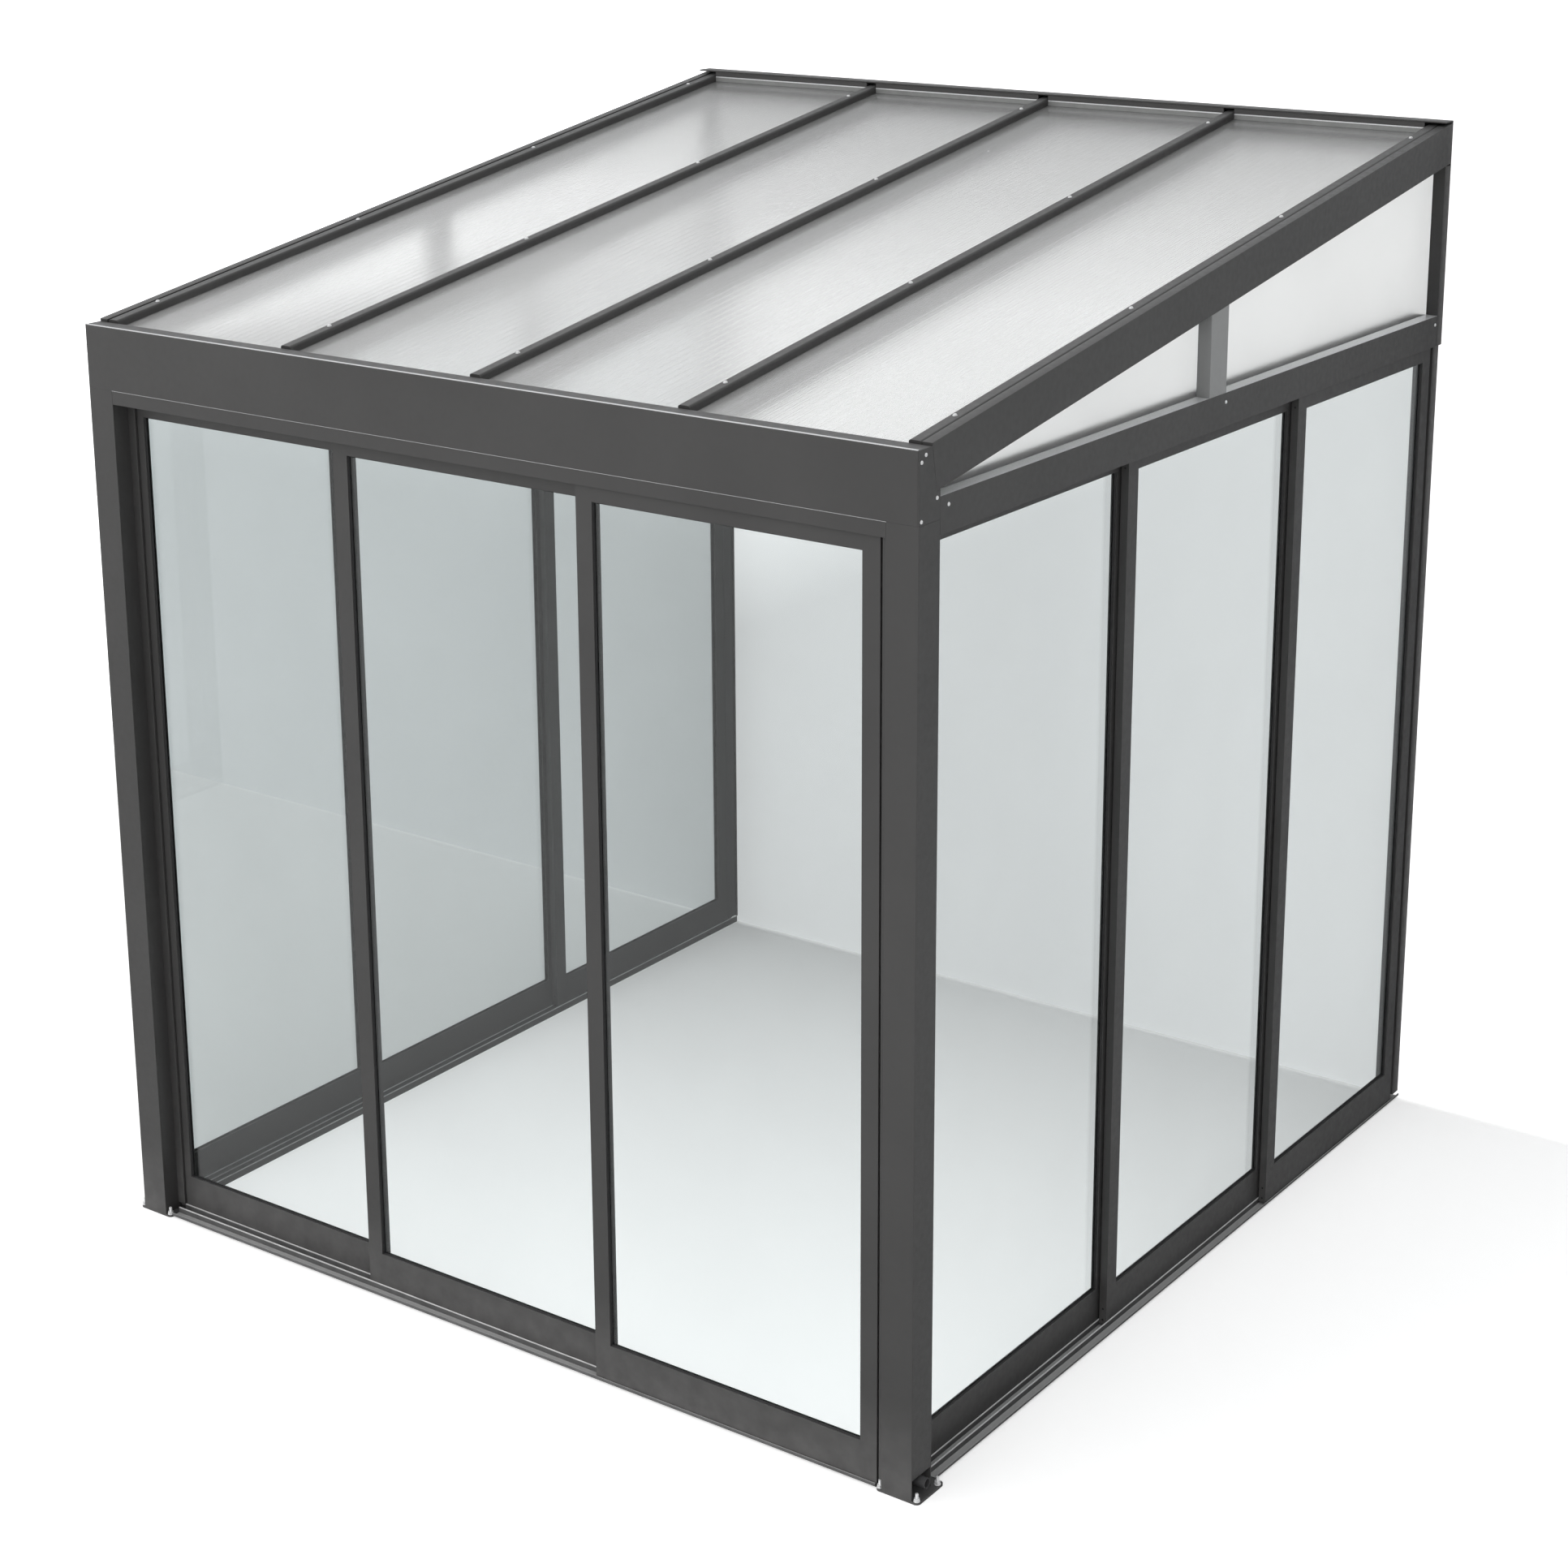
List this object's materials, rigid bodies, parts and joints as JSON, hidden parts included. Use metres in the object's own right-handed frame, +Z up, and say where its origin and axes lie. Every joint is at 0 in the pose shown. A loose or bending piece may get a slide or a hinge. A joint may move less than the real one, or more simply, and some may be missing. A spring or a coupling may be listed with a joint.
{
  "type": "lean-to conservatory",
  "caption": "Lean-to conservatory: painted aluminium frame against a house wall, translucent sheet roof falling to a front gutter, glazed panels sliding on parallel tracks.",
  "frame": {"origin": "on the floor, in the middle of the plan box over the foot plates, front faces and house wall", "axes": "+X to the right seen from the garden, +Y from the front towards the house wall, +Z up"},
  "size_m": [2.536, 2.61, 2.858],
  "materials": {
    "frame_paint": "satin anthracite powder coat",
    "mullion_paint": "satin mid-grey powder coat",
    "track_alu": "satin powder coat, worn bright on the rib tops",
    "panel_glass": "clear toughened glass",
    "gable_glass": "clear fixed pane",
    "roof_sheet": "translucent ribbed twin-wall sheet",
    "zinc": "bright zinc plate",
    "glide_plastic": "black nylon",
    "pipe": "grey plastic pipe"
  },
  "bodies": {
    "frame": {"left_post": "frame_paint", "right_post": "frame_paint", "foot_plates": "frame_paint", "anchor_bolts": "zinc", "drain_spouts": "pipe", "left_wall_post": "frame_paint", "right_wall_post": "frame_paint", "wall_plate": "frame_paint", "gutter": "frame_paint", "gutter_end_caps": "frame_paint", "eaves_beam": "frame_paint", "front_header": "frame_paint", "left_header": "frame_paint", "right_header": "frame_paint", "front_sill": "track_alu", "left_sill": "track_alu", "right_sill": "track_alu", "left_rafter": "frame_paint", "right_rafter": "frame_paint", "roof_bar_1": "frame_paint", "roof_bar_2": "frame_paint", "roof_bar_3": "frame_paint", "bar_caps": "frame_paint", "roof_sheet_1": "roof_sheet", "roof_sheet_2": "roof_sheet", "roof_sheet_3": "roof_sheet", "roof_sheet_4": "roof_sheet", "roof_screws": "zinc", "frame_screws": "zinc", "left_gable_panes": "gable_glass", "right_gable_panes": "gable_glass", "gable_mullions": "mullion_paint", "closing_jambs": "frame_paint"},
    "front_left_panel": {"front_left_frame": "frame_paint", "front_left_pane": "panel_glass", "front_left_glides": "glide_plastic"},
    "front_middle_panel": {"front_middle_frame": "frame_paint", "front_middle_pane": "panel_glass", "front_middle_glides": "glide_plastic"},
    "front_right_panel": {"front_right_frame": "frame_paint", "front_right_pane": "panel_glass", "front_right_glides": "glide_plastic"},
    "left_front_panel": {"left_front_frame": "frame_paint", "left_front_pane": "panel_glass", "left_front_glides": "glide_plastic"},
    "left_middle_panel": {"left_middle_frame": "frame_paint", "left_middle_pane": "panel_glass", "left_middle_glides": "glide_plastic"},
    "left_rear_panel": {"left_rear_frame": "frame_paint", "left_rear_pane": "panel_glass", "left_rear_glides": "glide_plastic"},
    "right_front_panel": {"right_front_frame": "frame_paint", "right_front_pane": "panel_glass", "right_front_glides": "glide_plastic"},
    "right_middle_panel": {"right_middle_frame": "frame_paint", "right_middle_pane": "panel_glass", "right_middle_glides": "glide_plastic"},
    "right_rear_panel": {"right_rear_frame": "frame_paint", "right_rear_pane": "panel_glass", "right_rear_glides": "glide_plastic"}
  },
  "joints": [
    {"name": "front_left_slide", "type": "slide", "parent": "frame", "child": "front_left_panel", "axis": [1, 0, 0], "range_m": [0, 1.54]},
    {"name": "front_middle_slide", "type": "slide", "parent": "frame", "child": "front_middle_panel", "axis": [1, 0, 0], "range_m": [-0.69, 0.78]},
    {"name": "front_right_slide", "type": "slide", "parent": "frame", "child": "front_right_panel", "axis": [1, 0, 0], "range_m": [-1.46, 0]},
    {"name": "left_front_slide", "type": "slide", "parent": "frame", "child": "left_front_panel", "axis": [0, 1, 0], "range_m": [0, 1.68]},
    {"name": "left_middle_slide", "type": "slide", "parent": "frame", "child": "left_middle_panel", "axis": [0, 1, 0], "range_m": [-0.71, 0.85]},
    {"name": "left_rear_slide", "type": "slide", "parent": "frame", "child": "left_rear_panel", "axis": [0, 1, 0], "range_m": [-1.53, 0]},
    {"name": "right_front_slide", "type": "slide", "parent": "frame", "child": "right_front_panel", "axis": [0, 1, 0], "range_m": [0, 1.58]},
    {"name": "right_middle_slide", "type": "slide", "parent": "frame", "child": "right_middle_panel", "axis": [0, 1, 0], "range_m": [-0.81, 0.76]},
    {"name": "right_rear_slide", "type": "slide", "parent": "frame", "child": "right_rear_panel", "axis": [0, 1, 0], "range_m": [-1.63, 0]}
  ]
}
